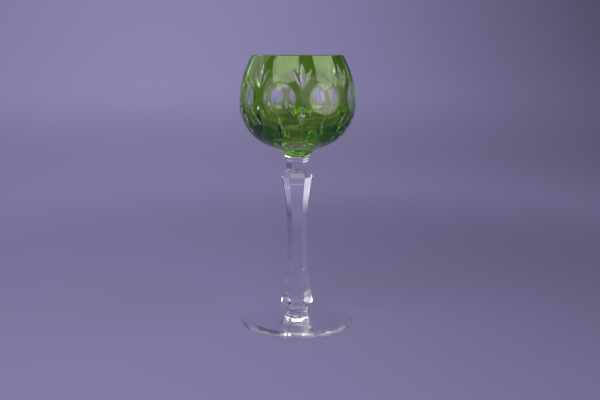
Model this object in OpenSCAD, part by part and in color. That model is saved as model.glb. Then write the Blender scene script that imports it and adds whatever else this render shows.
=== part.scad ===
// Cased and cut wine roemer: a clear crystal bowl under a green overlay,
// a facet-cut hexagonal stem and a round foot, hot-joined face to face.
// Millimetres, +Z up, origin at the middle of the ring that the foot rests on.

/* [Foot] */
// Diameter of the foot
foot_d = 78.5; // [60:0.5:100]
// Thickness of the foot at its edge
foot_edge_h = 2.2; // [1.6:0.1:4]
// Rise of the foot's upper face from its edge to its neck
foot_rise = 2.6; // [1:0.1:8]
// Length of the round neck that stands on the foot
foot_neck_h = 3.6; // [3:0.1:10]
// Radius of the cove between the neck and the foot's upper face
foot_cove_r = 2.4; // [0.5:0.1:2.8]
// Width of the flat ring that the foot rests on
rest_ring_w = 7; // [3:0.5:15]
// Depth of the hollow under the foot
foot_hollow_h = 1.2; // [0.4:0.1:2]

/* [Stem] */
// Diameter of the round root between the foot and the lower knop
root_d = 15; // [12:0.1:16.5]
// Height of the plain part of the root
root_h = 1.6; // [0.5:0.1:10]
// Height of the bevel under the lower knop
lower_bevel_h = 5; // [3:0.1:10]
// Height from the lower knop's ridge to the waist
lower_flare_h = 46.7; // [42:0.1:56]
// Width across flats of the waist
waist_w = 11.4; // [10:0.1:14]
// Radius of the wheel that hollows each facet of the stem from knop to knop
flare_wheel_r = 262; // [220:1:300]
// Height from the waist to the upper knop's ridge
upper_flare_h = 43.9; // [42:0.1:56]
// Share of the knops' width across corners that is left where their tips are ground off
tip_share = 0.98; // [0.95:0.005:0.99]
// Height of the bevel above the upper knop
shoulder_h = 5.3; // [3:0.1:10]
// Width across flats of the neck under the bowl
neck_w = 13.2; // [11:0.1:15]
// Height of the neck under the bowl
neck_h = 4.9; // [2:0.1:15]
// Turn of the stem's facets against the cut pattern of the bowl
stem_turn = -5.5; // [-30:0.5:30]

/* [Bowl] */
// Height from the stem to the widest level
bowl_low_h = 41.2; // [38:0.2:60]
// Height from the widest level to the rim
bowl_up_h = 33; // [28:0.5:40]
// Widest diameter
belly_d = 80.6; // [76:0.2:90]
// Profile radius above the widest level
upper_arc_r = 65; // [55:0.5:90]
// Profile radius below the widest level
lower_arc_r = 31.5; // [28:0.1:34]
// Diameter of the boss where it leaves the bowl
boss_d = 29.6; // [24:0.2:34]
// Height of the plain collar between the stem and the boss
collar_h = 1.8; // [1:0.1:3]
// Radius of the wheel that ends each stem facet in an arch
facet_wheel_r = 11; // [9:0.5:12]
// Thickness of the wall at the widest level
belly_wall = 4.2; // [3.6:0.1:5.5]
// Thickness of the rounded rim
rim_wall = 2; // [1.4:0.1:3]
// Thickness of the base between the hollow and the boss
base_wall = 7.5; // [5:0.1:11]
// Profile radius of the hollow's floor
floor_arc_r = 54; // [48:0.5:80]
// Thickness of the coloured overlay
casing_wall = 0.25; // [0.2:0.05:0.5]
// Width of the clear ring between the boss and the edge of the overlay
clear_ring_w = 1; // [0.6:0.1:1.5]

/* [Cutting] */
// Number of repeats round the bowl
repeats = 8; // [6:1:9]
// Height of the round lenses' middle above the widest level
lens_rise = 4.6; // [0:0.1:8]
// Width of a round lens
lens_w = 22.5; // [16:0.5:24]
// Radius of the broad wheel that cuts a lens
lens_wheel_r = 106; // [80:1:160]
// Radius of the V-edged wheel for leaves and blades
mitre_wheel_r = 110; // [60:1:150]
// Length up the wall from the widest level to the point where a spray's leaves meet
spray_rise = 11.2; // [9:0.1:14]
// Length of a spray's middle leaf
middle_leaf_l = 17.6; // [12:0.1:19]
// Width of a spray's middle leaf
middle_leaf_w = 4.2; // [2.8:0.1:4.8]
// Length of a spray's side leaves
side_leaf_l = 15.4; // [10:0.1:18]
// Width of a spray's side leaves
side_leaf_w = 3.4; // [2.4:0.1:4]
// Lean of a spray's side leaves
leaf_lean = 25; // [18:0.5:32]
// Length down the wall from the widest level to the long blades
long_blade_drop = 0.4; // [0:0.1:4]
// Length of the long blades between the lenses
long_blade_l = 19.6; // [14:0.1:22]
// Width of the long blades
long_blade_w = 5; // [3:0.1:5.5]
// Length down the wall from the widest level to the short blades
short_blade_drop = 6.7; // [5:0.1:10]
// Length of the short blades under the lenses
short_blade_l = 14.6; // [10:0.1:16]
// Width of the short blades
short_blade_w = 4; // [3:0.1:5]

/* [Hidden] */
$fn = 96;
// Steps round a circle of a long profile radius
long_arc_fn = 360;
crystal = [0.86, 0.88, 0.92];
overlay_green = [0.36, 0.52, 0.1];
// How far a cutter runs past what it cuts
over = 1;
// How far the boss's collar stands outside the corners of the stem's facets
collar_spare = 0.3;

sides = 6;
// A hexagon's half width across flats over its half width across corners
flat_share = cos(180 / sides);

// How far the hollow's floor crosses inside the arc of its sides, which leaves a faint edge there
floor_crease = 0.06;

foot_r = foot_d / 2;
root_r = root_d / 2;
edge_r = foot_edge_h / 2;
foot_top_z = foot_edge_h + foot_rise;
stem_z = foot_top_z + foot_neck_h;
bevel_z = stem_z + root_h;
lower_ridge_z = bevel_z + lower_bevel_h;
waist_z = lower_ridge_z + lower_flare_h;
upper_ridge_z = waist_z + upper_flare_h;
neck_z = upper_ridge_z + shoulder_h;
bowl_z = neck_z + neck_h;
belly_z = bowl_z + bowl_low_h;
rim_z = belly_z + bowl_up_h;

belly_r = belly_d / 2;
upper_mid_x = belly_r - upper_arc_r;
lower_mid_x = belly_r - lower_arc_r;
base_z = belly_z - lower_arc_r;
collar_r = neck_w / 2 / flat_share + collar_spare;
collar_z = bowl_z + collar_h;
boss_top_z = belly_z - sqrt(pow(lower_arc_r, 2) - pow(boss_d / 2 - lower_mid_x, 2));

// The rim is a bead that touches the outer and the inner profile
bead_r = rim_wall / 2;
bead_z = rim_z - bead_r;
bead_x = upper_mid_x
    + sqrt(pow(upper_arc_r, 2) - pow(bowl_up_h, 2) - rim_wall * (upper_arc_r - bowl_up_h));
hollow_r = belly_r - belly_wall;
hollow_up_r = (pow(hollow_r - bead_x, 2) + pow(bead_z - belly_z, 2) - pow(bead_r, 2))
    / (2 * (hollow_r - bead_x + bead_r));
hollow_up_x = hollow_r - hollow_up_r;

// The hollow's floor is an arc about the axis, and the arc of its sides meets it almost smoothly
floor_z = base_z + base_wall;
floor_mid_z = floor_z + floor_arc_r;
side_arc_r = (pow(floor_arc_r, 2) - pow(floor_mid_z - belly_z, 2) - pow(hollow_r, 2))
    / (2 * (floor_arc_r - hollow_r));
side_mid_x = hollow_r - side_arc_r;
floor_edge_x = side_mid_x * floor_arc_r / (floor_arc_r - side_arc_r);

// Depth that a wheel of a given radius takes to cut a given length into a rounded wall
function cut_depth(length, wall_r, wheel_r) = pow(length / 2, 2) / 2 * (1 / wall_r + 1 / wheel_r);

// Radius of an arc that rises by a given amount at half of a given chord
function cap_r(half_chord, rise) = (pow(half_chord, 2) + pow(rise, 2)) / (2 * rise);

// Half width across flats of the stem at a height from its waist
function facet_x(height) = waist_w / 2 + flare_wheel_r
    - sqrt(pow(flare_wheel_r, 2) - pow(height, 2));

// Angle at an arc's middle for a length along it
function arc_turn(length, r) = length / r * 180 / PI;

// Radius of the stem's turned blank at a level
function tip_r(z) = tip_share / flat_share * (facet_x(lower_flare_h)
    + (facet_x(upper_flare_h) - facet_x(lower_flare_h))
    * (z - lower_ridge_z) / (upper_ridge_z - lower_ridge_z));

// Length of the stem's facets and wheels sideways, past the stem's corners
facet_reach = 4 * tip_r(lower_ridge_z);

// Sector of a circle between two angles
module sector(x, z, r, from, to) {
    translate([x, z])
        intersection() {
            circle(r, $fn = long_arc_fn);
            polygon([
                [0, 0],
                2 * r * [cos(from), sin(from)],
                2 * r * [cos(to), sin(to)]
            ]);
        }
}

// Part of a circle that lies outside the axis and between two heights
module arc_band(x, z, r, z_min, z_max) {
    intersection() {
        translate([x, z])
            circle(r, $fn = long_arc_fn);
        translate([0, z_min])
            square([belly_d, z_max - z_min]);
    }
}

// Half section of the bowl with its boss, solid and uncut, with its wall set in and its boss spread
module blank_section(inset, spread) {
    arc_band(upper_mid_x, belly_z, upper_arc_r - inset, belly_z, rim_z + over);
    sector(lower_mid_x, belly_z, lower_arc_r - inset, -90, 0);
    polygon([
        [0, bowl_z - spread],
        [collar_r + spread, bowl_z - spread],
        [collar_r + spread, collar_z],
        [boss_d / 2 + spread, boss_top_z],
        [boss_d / 2 + spread, belly_z],
        [0, belly_z]
    ]);
}

// Half section of the hollow
module hollow_section() {
    arc_band(hollow_up_x, belly_z, hollow_up_r, belly_z, rim_z + over);
    intersection() {
        arc_band(0, floor_mid_z, floor_arc_r - floor_crease, base_z, belly_z);
        union() {
            arc_band(side_mid_x, belly_z, side_arc_r, base_z, belly_z + over);
            translate([0, base_z])
                square([floor_edge_x, belly_z + over - base_z]);
        }
    }
}

// What lies above the rim's bead, between the two places where it touches the wall
module above_bead() {
    reach = 2 * rim_wall;
    out = atan2(bead_z - belly_z, bead_x - upper_mid_x);
    inn = atan2(bead_z - belly_z, bead_x - hollow_up_x);
    polygon([
        [bead_x, bead_z],
        [bead_x + reach * cos(out), bead_z + reach * sin(out)],
        [bead_x + reach, rim_z + 2 * over],
        [bead_x - reach, rim_z + 2 * over],
        [bead_x - reach * cos(inn), bead_z - reach * sin(inn)]
    ]);
}

// Half section of the whole wall, with its rounded rim
module wall_section() {
    difference() {
        blank_section(0, 0);
        hollow_section();
        above_bead();
        translate([0, rim_z])
            square([belly_r, 2 * over]);
    }
    intersection() {
        translate([bead_x, bead_z])
            circle(bead_r);
        above_bead();
    }
}

// Places a cutter on the bowl's outer face: +X out of the wall and +Z up along it
module on_wall(turn, mid_x, r, rise) {
    rotate([0, 0, turn])
        translate([mid_x, 0, belly_z])
            rotate([0, -rise, 0])
                translate([r, 0, 0])
                    children();
}

// Stretch of a V-edged wheel that cuts a pointed groove of a given length and width along Z
module mitre_cut(length, width, wall_r) {
    depth = cut_depth(length, wall_r, mitre_wheel_r);
    thick = depth + over;
    spread = width / 2 * thick / depth;
    span = 2 * asin((length / 2 + over) / mitre_wheel_r);
    translate([mitre_wheel_r - depth, 0, 0])
        rotate([90, 0, 0])
            rotate_extrude(angle = span, start = 180 - span / 2)
                polygon([
                    [mitre_wheel_r, 0],
                    [mitre_wheel_r - thick, spread],
                    [mitre_wheel_r - thick, -spread]
                ]);
}

// Broad wheel that cuts one lens, level across its face
module lens_cut(turn) {
    depth = belly_r - sqrt(pow(belly_r, 2) - pow(lens_w / 2, 2));
    on_wall(turn, upper_mid_x, upper_arc_r, asin(lens_rise / upper_arc_r))
        translate([lens_wheel_r - depth, 0, 0])
            rotate([90, 0, 0])
                cylinder(h = lens_w + 2 * over, r = lens_wheel_r, center = true, $fn = long_arc_fn);
}

// One leaf of a spray, from the spray's point up the wall
module leaf_cut(turn, length, width, lean) {
    rise = arc_turn(spray_rise + length / 2 * cos(lean), upper_arc_r);
    round_r = upper_mid_x + upper_arc_r * cos(rise);
    along_r = 1 / (pow(cos(lean), 2) / upper_arc_r + pow(sin(lean), 2) * cos(rise) / round_r);
    on_wall(turn + arc_turn(length / 2 * sin(lean), round_r), upper_mid_x, upper_arc_r, rise)
        rotate([-lean, 0, 0])
            mitre_cut(length, width, along_r);
}

// One upright blade on the lower wall
module blade_cut(turn, drop, length, width) {
    on_wall(turn, lower_mid_x, lower_arc_r, -arc_turn(drop + length / 2, lower_arc_r))
        mitre_cut(length, width, lower_arc_r);
}

// All cuts of the bowl, with a spray and a long blade facing -Y
module pattern_cuts() {
    step = 360 / repeats;
    for (i = [0:repeats - 1]) {
        turn = i * step - 90;
        lens_cut(turn + step / 2);
        leaf_cut(turn, middle_leaf_l, middle_leaf_w, 0);
        leaf_cut(turn, side_leaf_l, side_leaf_w, leaf_lean);
        leaf_cut(turn, side_leaf_l, side_leaf_w, -leaf_lean);
        blade_cut(turn, long_blade_drop, long_blade_l, long_blade_w);
        blade_cut(turn + step / 2, short_blade_drop, short_blade_l, short_blade_w);
    }
}

// Ends of the stem's facets, which run out into the boss as arches
module facet_ends() {
    for (i = [0:sides - 1])
        rotate([0, 0, stem_turn - 90 + i * 360 / sides])
            translate([neck_w / 2 + facet_wheel_r, 0, bowl_z])
                rotate([90, 0, 0])
                    cylinder(h = boss_d, r = facet_wheel_r, center = true);
}

// A point a little past the ridge of a knop, in line with its bevel
function past_ridge(bevel, ridge) = ridge + (ridge - bevel) / norm(ridge - bevel) * over;

// Outline of a pair of opposite facets before the long hollows are cut, from bevel to neck
module facet_section() {
    lower_bevel = [root_r * pow(flat_share, 2), bevel_z];
    upper_bevel = [neck_w / 2, neck_z];
    right = [
        lower_bevel,
        past_ridge(lower_bevel, [facet_x(lower_flare_h), lower_ridge_z]),
        past_ridge(upper_bevel, [facet_x(upper_flare_h), upper_ridge_z]),
        upper_bevel,
        [neck_w / 2, bowl_z]
    ];
    left = [for (i = [len(right) - 1:-1:0]) [-right[i].x, right[i].y]];
    polygon(concat(right, left));
}

// Turned blank that leaves the knops' tips rounded
module turned_blank() {
    rotate_extrude()
        polygon([
            [0, bevel_z - over],
            [tip_r(bevel_z - over), bevel_z - over],
            [tip_r(bowl_z + over), bowl_z + over],
            [0, bowl_z + over]
        ]);
}

// Wheels that hollow the stem's facets
module flare_wheels() {
    for (i = [0:sides - 1])
        rotate([0, 0, i * 360 / sides])
            translate([waist_w / 2 + flare_wheel_r, 0, waist_z])
                rotate([90, 0, 0])
                    cylinder(h = facet_reach, r = flare_wheel_r, center = true, $fn = long_arc_fn);
}

module foot() {
    slope = foot_rise / (foot_r - edge_r - root_r);
    lean = sqrt(1 + pow(slope, 2));
    cove_x = root_r + foot_cove_r;
    cove_z = foot_top_z + foot_cove_r * (lean - slope);
    hollow_w = foot_r - edge_r - rest_ring_w;
    hollow_arc_r = cap_r(hollow_w, foot_hollow_h);
    color(crystal)
        rotate_extrude()
            difference() {
                union() {
                    polygon([
                        [0, 0],
                        [foot_r - edge_r, 0],
                        [foot_r - edge_r, foot_edge_h],
                        [root_r, foot_top_z],
                        [root_r, stem_z],
                        [0, stem_z]
                    ]);
                    sector(foot_r - edge_r, edge_r, edge_r, -90, 0);
                    sector(foot_r - edge_r, edge_r, edge_r, 0, 90);
                    difference() {
                        polygon([
                            [0, foot_edge_h],
                            [cove_x - foot_cove_r * slope / lean, cove_z - foot_cove_r / lean],
                            [cove_x, cove_z],
                            [0, cove_z]
                        ]);
                        translate([cove_x, cove_z])
                            circle(foot_cove_r);
                    }
                }
                arc_band(0, foot_hollow_h - hollow_arc_r, hollow_arc_r, 0, foot_edge_h);
            }
}

module stem() {
    color(crystal) {
        translate([0, 0, stem_z])
            cylinder(h = lower_ridge_z - stem_z, r = root_r);
        rotate([0, 0, stem_turn - 90])
            difference() {
                intersection() {
                    turned_blank();
                    intersection_for (turn = [0:360 / sides:179])
                        rotate([90, 0, turn])
                            linear_extrude(height = facet_reach, center = true)
                                facet_section();
                }
                flare_wheels();
            }
    }
}

module bowl_lining() {
    color(crystal)
        difference() {
            rotate_extrude()
                intersection() {
                    wall_section();
                    blank_section(casing_wall, clear_ring_w);
                }
            pattern_cuts();
            facet_ends();
        }
}

module colour_casing() {
    color(overlay_green)
        difference() {
            rotate_extrude()
                difference() {
                    wall_section();
                    blank_section(casing_wall, clear_ring_w);
                }
            pattern_cuts();
            facet_ends();
        }
}

foot();
stem();
bowl_lining();
colour_casing();
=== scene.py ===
"""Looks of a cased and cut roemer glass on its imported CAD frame. Lengths in metres, angles in degrees."""
import math
from collections import namedtuple

import bpy
import numpy as np
from mathutils import Matrix, Quaternion, Vector
from mathutils.bvhtree import BVHTree


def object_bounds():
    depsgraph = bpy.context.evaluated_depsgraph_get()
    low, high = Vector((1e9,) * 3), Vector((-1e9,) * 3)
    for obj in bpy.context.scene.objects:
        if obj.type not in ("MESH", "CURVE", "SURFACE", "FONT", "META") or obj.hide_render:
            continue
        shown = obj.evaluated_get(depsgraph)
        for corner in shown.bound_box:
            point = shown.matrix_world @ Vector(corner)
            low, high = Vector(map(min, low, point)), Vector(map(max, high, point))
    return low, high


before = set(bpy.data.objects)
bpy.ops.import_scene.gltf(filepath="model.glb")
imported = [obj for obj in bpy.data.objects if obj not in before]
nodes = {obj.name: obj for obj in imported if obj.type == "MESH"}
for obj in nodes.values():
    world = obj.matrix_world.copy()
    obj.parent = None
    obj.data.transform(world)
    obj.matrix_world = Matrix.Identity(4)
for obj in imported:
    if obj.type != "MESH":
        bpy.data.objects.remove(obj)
cad_low, cad_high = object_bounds()
mm = 0.001

# The photograph: its size and what was measured in it, in pixels
IMAGE_W, IMAGE_H = 600, 400
FOCAL = 870
RIM_ROW = 54.8
AXIS_COLUMN = 297.2

# The camera stands at the height of the rim
CAMERA_DISTANCE = 605.7 * mm
CAMERA_TURN = 4.8
CAMERA_ROLL = 0.2
CAMERA_NEAR = 10 * mm
SENSOR_W = 36

# Soft boxes and cards. Turn to the right of the camera, height above the horizon and roll are in degrees.
# Width, length, shift along the box's own upright and distance are in millimetres.
# Radiance is the level at which a box is seen.
# Fade is the share of its length over which it goes dark at its foot
WHITE = (1, 1, 1)
WARM = (1, 0.98, 0.88)
LAVENDER = (0.68, 0.64, 1)
LAMP_DISTANCE = 1100
Box = namedtuple(
    "Box",
    "turn height width length radiance colour roll shift distance fade",
    defaults=[WHITE, 0, 0, LAMP_DISTANCE, 0],
)
BOXES = {
    "softbox_left": Box(-29, 40, 950, 760, 3.1, WARM, roll=17.7, shift=100),
    "softbox_right": Box(72.7, 40, 850, 780, 3.1, WARM, roll=-29.8, shift=-30),
    "card_left": Box(-118, 38, 900, 900, 0.9),
    "card_front_left": Box(-35, 3, 260, 260, 1.1, WARM),
    "card_front_right": Box(55, 8, 300, 420, 2.6, WARM),
    "card_low_left": Box(-107, -1, 380, 150, 2, distance=900),
    "card_back_left": Box(-139, 0, 130, 200, 0.6, shift=10, distance=720, fade=0.6),
    "card_back_right": Box(139, 0, 150, 360, 0.42, LAVENDER, shift=90, distance=760, fade=0.3),
    "card_back_top": Box(180, 54, 420, 180, 0.55),
    "card_high_left": Box(-138, 38, 300, 220, 1.6),
    "card_high_right": Box(138, 38, 300, 220, 1.6),
}
AMBIENT = (0.02, 0.02, 0.026)

# The floor runs up into a round backdrop
FLOOR_R = 900 * mm
SWEEP_R = 900 * mm
WALL_H = 1400 * mm
FLOOR_GAP = 0.1 * mm
FLOOR_MIDDLE_R = 300 * mm
SWEEP_STEPS = 32
RING_STEPS = 128
# Near the glass the paper is lit by the lamps, and a pool of light is also painted into its colour. Further
# off it is seen at a level of its own, even but for the painted light and shade on it
FLOOR_COLOUR = (0.28, 0.256, 0.512)
GLOW_COLOUR = (0.28, 0.254, 0.464)
GLOW_FROM, GLOW_TO = 150 * mm, 700 * mm
# Painted shade: that level is painted lower on the floor than on the backdrop, rising over this height
GLOW_PAINTED_SHADE_HEIGHT = 120 * mm
GLOW_PAINTED_SHADE_LOW = 0.72
# Painted light: a pool of light painted on the paper falls off to both sides of a place left of the glass,
# on the lit paper more quickly than further off. Outside it the paper has painted shade
PAINTED_POOL_SHAPE = (1, 0.3, 0)
PAINTED_POOL_CENTRE, PAINTED_POOL_REACH = (-200 * mm, 600 * mm, 0), 1500 * mm
PAINTED_NEAR_POOL_CENTRE, PAINTED_NEAR_POOL_REACH = (-150 * mm, 0, 0), 840 * mm
# Painted shade: the share of the paper's colour and level left outside the painted pools of light
PAINTED_POOL_LOW = 0.12
# The paper is matt and has a faint grain
PAPER_ROUGHNESS = 0.9
PAPER_SHINE = 0.1
PAPER_SCALE = 300
PAPER_SHARE = 0.04

# Faces of two pieces that are fused lie this close together in their meshes and look at each other
FUSED_GAP = 0.08 * mm
FUSED_FACING = -0.8
# Thickness of the overlay, and the share of it below which a face is the side of a cut
OVERLAY_WALL = 0.25 * mm
CUT_SHARE = 0.85
# Shares of the overlay's height between which the lining is cut
CUT_FROM, CUT_TO = 0.075, 0.97

# Light turns many times inside cut glass
GLASS_BOUNCES = 32
CLEAR_BOUNCES = 64
CRYSTAL_IOR = 1.545
# Clear glass and its faint cords, which run up the blown wall
CRYSTAL_COLOUR = (0.988, 0.992, 0.992)
CORD_COLOUR = (0.965, 0.975, 0.98)
CORD_SCALE = 90
CORD_STRETCH = (1, 1, 0.25)
CORD_SHARE = 0.12
# What one crossing of the overlay lets through, above the belly and, darker and more yellow, at the base.
# Half of its effect is at its face and half at the joint
OVERLAY_COLOUR = (0.55, 0.84, 0.19)
BASE_COLOUR = (0.4, 0.62, 0.07)
# Shares of the overlay's height between which its tint goes from the base's to the one above the belly
BASE_SHARE, BELLY_SHARE = 0.15, 0.56
# The polish is a little uneven, and rougher in the cuts
POLISH_SCALE = 350
POLISH_ROUGHNESS = 0.012
CUT_ROUGHNESS = 0.3
WAVE_SCALE = 70
WAVE_H = 0.03 * mm
# What a face of glass leaves of the light of a lamp behind it
SHADOW_SHARE = 0.92

# Places in each piece's list of materials
GLASS_SLOT, JOINT_SLOT, CUT_SLOT = 0, 1, 2


def overlay_level(share):
    """Height at a share of the overlay's own height."""
    levels = [vertex.co.z for vertex in nodes["colour_casing"].data.vertices]
    return min(levels) + share * (max(levels) - min(levels))


def material(name):
    """A new node material with only a Principled shader, and that shader."""
    made = bpy.data.materials.new(name)
    made.use_nodes = True
    return made, made.node_tree.nodes["Principled BSDF"]


def place_from(tree, centre=(0, 0, 0), stretch=(1, 1, 1)):
    """Socket with the frame's own coordinates, counted from a place and stretched."""
    place = tree.nodes.new("ShaderNodeTexCoord")
    away = tree.nodes.new("ShaderNodeVectorMath")
    away.operation = "SUBTRACT"
    away.inputs[1].default_value = centre
    shape = tree.nodes.new("ShaderNodeVectorMath")
    shape.operation = "MULTIPLY"
    shape.inputs[1].default_value = stretch
    tree.links.new(place.outputs["Object"], away.inputs[0])
    tree.links.new(away.outputs[0], shape.inputs[0])
    return shape.outputs[0]


def noise(tree, scale, stretch=(1, 1, 1)):
    """Socket with noise between 0 and 1 in the frame's own coordinates."""
    grain = tree.nodes.new("ShaderNodeTexNoise")
    grain.inputs["Scale"].default_value = scale
    tree.links.new(place_from(tree, stretch=stretch), grain.inputs["Vector"])
    return grain.outputs["Fac"]


def smooth(tree, value, low, high, at_low=0, at_high=1):
    """Socket that goes smoothly from one number to another while a value goes from low to high."""
    share = tree.nodes.new("ShaderNodeMapRange")
    share.interpolation_type = "SMOOTHSTEP"
    for socket, number in zip(("From Min", "From Max", "To Min", "To Max"), (low, high, at_low, at_high)):
        share.inputs[socket].default_value = number
    tree.links.new(value, share.inputs["Value"])
    return share.outputs["Result"]


def height_above(tree):
    """Socket with the height above the frame's origin."""
    split = tree.nodes.new("ShaderNodeSeparateXYZ")
    tree.links.new(place_from(tree), split.inputs[0])
    return split.outputs["Z"]


def distance_from(tree, centre=(0, 0, 0), stretch=(1, 1, 1)):
    """Socket with the distance from a place, in stretched coordinates."""
    far = tree.nodes.new("ShaderNodeVectorMath")
    far.operation = "LENGTH"
    tree.links.new(place_from(tree, centre, stretch), far.inputs[0])
    return far.outputs["Value"]


def maths(tree, operation, first, second):
    """Socket with the result of an operation on a socket and a socket or a number."""
    node = tree.nodes.new("ShaderNodeMath")
    node.operation = operation
    tree.links.new(first, node.inputs[0])
    if isinstance(second, (int, float)):
        node.inputs[1].default_value = second
    else:
        tree.links.new(second, node.inputs[1])
    return node.outputs[0]


def blend(tree, first, second, share):
    """Socket with a mix of two colours."""
    mix = tree.nodes.new("ShaderNodeMixRGB")
    mix.inputs["Color1"].default_value = (*first, 1)
    mix.inputs["Color2"].default_value = (*second, 1)
    tree.links.new(share, mix.inputs["Fac"])
    return mix.outputs["Color"]


def show_mix(tree, first, second, share):
    """Lets a material show one shader, and another by a share."""
    mix = tree.nodes.new("ShaderNodeMixShader")
    tree.links.new(share, mix.inputs["Fac"])
    tree.links.new(first.outputs[0], mix.inputs[1])
    tree.links.new(second.outputs[0], mix.inputs[2])
    tree.links.new(mix.outputs[0], tree.nodes["Material Output"].inputs["Surface"])


def cords(tree):
    """Socket with the faint cords of blown glass."""
    return noise(tree, CORD_SCALE, CORD_STRETCH)


def base_to_belly_share(tree):
    """Socket with 0 at the overlay's base and 1 above its belly, a little less in the cords."""
    above = smooth(tree, height_above(tree), overlay_level(BASE_SHARE), overlay_level(BELLY_SHARE))
    return maths(tree, "SUBTRACT", above, maths(tree, "MULTIPLY", cords(tree), CORD_SHARE))


def half_way(colour):
    """A tint that gives the full one when it is crossed twice."""
    return [math.sqrt(c) for c in colour]


def glass(name, first_tint, second_tint, share, roughness):
    """Polished glass between two tints. Lamps shine through it onto what lies behind."""
    made, shader = material(name)
    tree = made.node_tree
    tree.links.new(blend(tree, first_tint, second_tint, share(tree)), shader.inputs["Base Color"])
    polish = maths(tree, "MULTIPLY", noise(tree, POLISH_SCALE), roughness)
    tree.links.new(polish, shader.inputs["Roughness"])
    wave = tree.nodes.new("ShaderNodeBump")
    wave.inputs["Distance"].default_value = WAVE_H
    tree.links.new(noise(tree, WAVE_SCALE), wave.inputs["Height"])
    tree.links.new(wave.outputs[0], shader.inputs["Normal"])
    shader.inputs["IOR"].default_value = CRYSTAL_IOR
    shader.inputs["Transmission Weight"].default_value = 1
    path = tree.nodes.new("ShaderNodeLightPath")
    lit = maths(tree, "MAXIMUM", path.outputs["Is Shadow Ray"], path.outputs["Is Diffuse Ray"])
    through = tree.nodes.new("ShaderNodeBsdfTransparent")
    through.inputs["Color"].default_value = (*[SHADOW_SHARE * c for c in half_way(second_tint)], 1)
    show_mix(tree, shader, through, lit)
    return made


def fused(name, first_tint, second_tint, share):
    """What two pieces that are fused show between them: no more than a tint."""
    made = bpy.data.materials.new(name)
    made.use_nodes = True
    tree = made.node_tree
    tree.nodes.clear()
    clear = tree.nodes.new("ShaderNodeBsdfTransparent")
    tree.links.new(blend(tree, first_tint, second_tint, share(tree)), clear.inputs["Color"])
    out = tree.nodes.new("ShaderNodeOutputMaterial")
    tree.links.new(clear.outputs[0], out.inputs["Surface"])
    return made


def surface_tree(obj):
    """Search tree of a piece's faces."""
    mesh = obj.data
    return BVHTree.FromPolygons([v.co for v in mesh.vertices], [p.vertices for p in mesh.polygons])


def fused_faces(obj, others):
    """Numbers of the faces of a piece that lie on a face of another piece and look into it."""
    found = []
    for face in obj.data.polygons:
        for tree in others:
            place, normal, *_ = tree.find_nearest(face.center, FUSED_GAP)
            if place is not None and normal.dot(face.normal) < FUSED_FACING:
                found.append(face.index)
                break
    return found


def overlay_cuts(obj, backing):
    """Numbers of the faces of the overlay that are the sides of cuts, where it thins out."""
    return [
        face.index
        for face in obj.data.polygons
        if backing.find_nearest(face.center, CUT_SHARE * OVERLAY_WALL)[0] is not None
    ]


def lining_cuts(obj):
    """Numbers of the faces of the lining's outside, from boss to rim. Those that aren't fused are cuts."""
    low, high = overlay_level(CUT_FROM), overlay_level(CUT_TO)
    middle = Vector((0, 0, (low + high) / 2))
    return [
        face.index
        for face in obj.data.polygons
        if low < face.center.z < high and face.normal.dot(face.center - middle) > 0
    ]


def dress_pieces():
    """Gives each piece its glass, and its fused and cut faces their own materials."""
    crystal = glass("crystal", CORD_COLOUR, CRYSTAL_COLOUR, cords, POLISH_ROUGHNESS)
    cut_crystal = glass("cut_crystal", CORD_COLOUR, CRYSTAL_COLOUR, cords, CUT_ROUGHNESS)
    overlay = glass("green_overlay", BASE_COLOUR, OVERLAY_COLOUR, base_to_belly_share, POLISH_ROUGHNESS)
    clear_joint = fused("clear_joint", WHITE, WHITE, cords)
    tinted_joint = fused("tinted_joint", half_way(BASE_COLOUR), half_way(OVERLAY_COLOUR), base_to_belly_share)
    finishes = {
        "foot": (crystal, clear_joint),
        "stem": (crystal, clear_joint),
        "bowl_lining": (crystal, clear_joint, cut_crystal),
        "colour_casing": (overlay, tinted_joint, cut_crystal),
    }
    trees = {name: surface_tree(obj) for name, obj in nodes.items()}
    cuts = {
        "bowl_lining": lining_cuts(nodes["bowl_lining"]),
        "colour_casing": overlay_cuts(nodes["colour_casing"], trees["bowl_lining"]),
    }
    for name, obj in nodes.items():
        obj.data.materials.clear()
        for finish in finishes[name]:
            obj.data.materials.append(finish)
        faces = obj.data.polygons
        faces.foreach_set("material_index", [GLASS_SLOT] * len(faces))
        for i in cuts.get(name, []):
            faces[i].material_index = CUT_SLOT
        for i in fused_faces(obj, [tree for other, tree in trees.items() if other != name]):
            faces[i].material_index = JOINT_SLOT


def ring_mesh(name, profile, steps):
    """A surface of revolution about Z from (radius, height) points, the first of them on the axis."""
    turns = np.linspace(0, 2 * math.pi, steps, endpoint=False)
    points = [(0, 0, profile[0][1])]
    for r, z in profile[1:]:
        points += [(r * math.cos(a), r * math.sin(a), z) for a in turns]
    faces = [(0, 1 + i, 1 + (i + 1) % steps) for i in range(steps)]
    for ring in range(len(profile) - 2):
        low, high = 1 + ring * steps, 1 + (ring + 1) * steps
        faces += [
            (low + i, high + i, high + (i + 1) % steps, low + (i + 1) % steps) for i in range(steps)
        ]
    mesh = bpy.data.meshes.new(name)
    mesh.from_pydata(points, [], faces)
    mesh.shade_smooth()
    return mesh


def painted_pool_share(tree, centre, reach):
    """Socket with 1 in the middle of a pool of light painted on the paper and 0 outside it, a little
    grainy.
    """
    share = smooth(tree, distance_from(tree, centre, PAINTED_POOL_SHAPE), 0, reach, 1, 0)
    return maths(tree, "SUBTRACT", share, maths(tree, "MULTIPLY", noise(tree, PAPER_SCALE), PAPER_SHARE))


def painted_pool_colour(tree, colour, share):
    """Socket with a colour that has painted shade outside the painted pool of light."""
    return blend(tree, [PAINTED_POOL_LOW * c for c in colour], colour, share)


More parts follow.
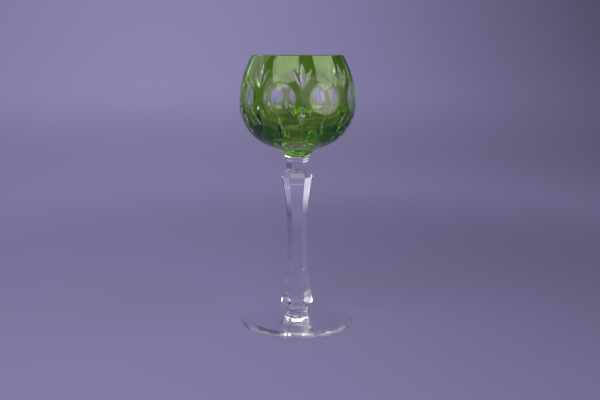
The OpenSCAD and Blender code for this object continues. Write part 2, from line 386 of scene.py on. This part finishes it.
def backdrop_paper():
    """Matt paper, with a pool of light painted into its colour near the glass. Its own level further off,
    with painted light and shade on it, is only seen, directly or in the glass, and lights nothing.
    """
    paper, shader = material("backdrop_paper")
    tree = paper.node_tree
    shader.inputs["Roughness"].default_value = PAPER_ROUGHNESS
    shader.inputs["Specular IOR Level"].default_value = PAPER_SHINE
    # Painted pool of light in the colour of the lit floor near the glass
    painted_near_pool = painted_pool_share(tree, PAINTED_NEAR_POOL_CENTRE, PAINTED_NEAR_POOL_REACH)
    tree.links.new(painted_pool_colour(tree, FLOOR_COLOUR, painted_near_pool), shader.inputs["Base Color"])
    glow = tree.nodes.new("ShaderNodeEmission")
    # Painted shade: the level seen further off is darker low down, on the floor
    painted_shade_lift = smooth(tree, height_above(tree), 0, GLOW_PAINTED_SHADE_HEIGHT, GLOW_PAINTED_SHADE_LOW, 1)
    # Painted pool of light on the level that is seen further off
    level = maths(tree, "MULTIPLY", painted_pool_share(tree, PAINTED_POOL_CENTRE, PAINTED_POOL_REACH), painted_shade_lift)
    tree.links.new(painted_pool_colour(tree, GLOW_COLOUR, level), glow.inputs["Color"])
    path = tree.nodes.new("ShaderNodeLightPath")
    in_glass = maths(tree, "MAXIMUM", path.outputs["Is Glossy Ray"], path.outputs["Is Transmission Ray"])
    seen = maths(tree, "MAXIMUM", path.outputs["Is Camera Ray"], in_glass)
    far = smooth(tree, distance_from(tree), GLOW_FROM, GLOW_TO)
    show_mix(tree, shader, glow, maths(tree, "MULTIPLY", far, seen))
    return paper


def make_floor():
    """The floor and the backdrop that it runs up into, in one sweep."""
    sweep = np.linspace(0, math.pi / 2, SWEEP_STEPS)
    profile = [(0, 0), (FLOOR_MIDDLE_R, 0)]
    profile += [(FLOOR_R + SWEEP_R * math.sin(a), SWEEP_R * (1 - math.cos(a))) for a in sweep]
    profile.append((FLOOR_R + SWEEP_R, SWEEP_R + WALL_H))
    floor = bpy.data.objects.new("floor", ring_mesh("floor", profile, RING_STEPS))
    floor.data.materials.append(backdrop_paper())
    bpy.context.collection.objects.link(floor)
    floor.location.z = cad_low.z - FLOOR_GAP


def towards(turn, height):
    """Direction from the glass, with the turn counted to the right of the camera."""
    across, up = math.radians(CAMERA_TURN - turn), math.radians(height)
    return Vector((-math.sin(across) * math.cos(up), -math.cos(across) * math.cos(up), math.sin(up)))


def fade_out(lamp, share):
    """Lets a lamp fade to nothing over a share of its length, at its foot."""
    lamp.use_nodes = True
    tree = lamp.node_tree
    spot = tree.nodes.new("ShaderNodeNewGeometry")
    split = tree.nodes.new("ShaderNodeSeparateXYZ")
    tree.links.new(spot.outputs["Parametric"], split.inputs[0])
    tree.links.new(smooth(tree, split.outputs["Y"], 0, share), tree.nodes["Emission"].inputs["Strength"])


def make_lamps():
    """The soft boxes and cards, each facing the middle of the glass, and the dim room around them."""
    middle = (cad_low + cad_high) / 2
    for name, box in BOXES.items():
        lamp = bpy.data.lights.new(name, "AREA")
        lamp.shape = "RECTANGLE"
        lamp.size, lamp.size_y = box.width * mm, box.length * mm
        lamp.color = box.colour
        lamp.energy = box.radiance * math.pi * lamp.size * lamp.size_y
        if box.fade:
            fade_out(lamp, box.fade)
        obj = bpy.data.objects.new(name, lamp)
        away = towards(box.turn, box.height)
        facing = away.to_track_quat("Z", "Y") @ Quaternion((0, 0, 1), math.radians(box.roll))
        obj.location = middle + away * box.distance * mm + facing @ Vector((0, box.shift * mm, 0))
        obj.rotation_mode = "QUATERNION"
        obj.rotation_quaternion = facing
        bpy.context.collection.objects.link(obj)
    world = bpy.data.worlds.new("room")
    world.use_nodes = True
    world.node_tree.nodes["Background"].inputs["Color"].default_value = (*AMBIENT, 1)
    bpy.context.scene.world = world


def make_camera():
    """The photograph's camera, level with the rim and looking down at the stem."""
    data = bpy.data.cameras.new("camera")
    data.sensor_width = SENSOR_W
    data.lens = SENSOR_W * FOCAL / IMAGE_W
    data.clip_start = CAMERA_NEAR
    camera = bpy.data.objects.new("camera", data)
    pitch = math.atan((IMAGE_H / 2 - RIM_ROW) / FOCAL)
    pan = math.atan((IMAGE_W / 2 - AXIS_COLUMN) / FOCAL)
    turn = math.radians(CAMERA_TURN)
    place = Vector((-math.sin(turn), -math.cos(turn), 0)) * CAMERA_DISTANCE
    place.z = cad_high.z
    camera.matrix_world = (
        Matrix.Translation(place)
        @ Matrix.Rotation(-turn - pan, 4, "Z")
        @ Matrix.Rotation(math.pi / 2 - pitch, 4, "X")
        @ Matrix.Rotation(math.radians(CAMERA_ROLL), 4, "Z")
    )
    bpy.context.collection.objects.link(camera)
    bpy.context.scene.camera = camera


dress_pieces()
make_floor()
make_lamps()
make_camera()
scene = bpy.context.scene
scene.view_settings.view_transform = "Standard"
scene.cycles.max_bounces = GLASS_BOUNCES
scene.cycles.transmission_bounces = GLASS_BOUNCES
scene.cycles.glossy_bounces = GLASS_BOUNCES
scene.cycles.transparent_max_bounces = CLEAR_BOUNCES
scene.cycles.caustics_reflective = False
scene.cycles.caustics_refractive = False
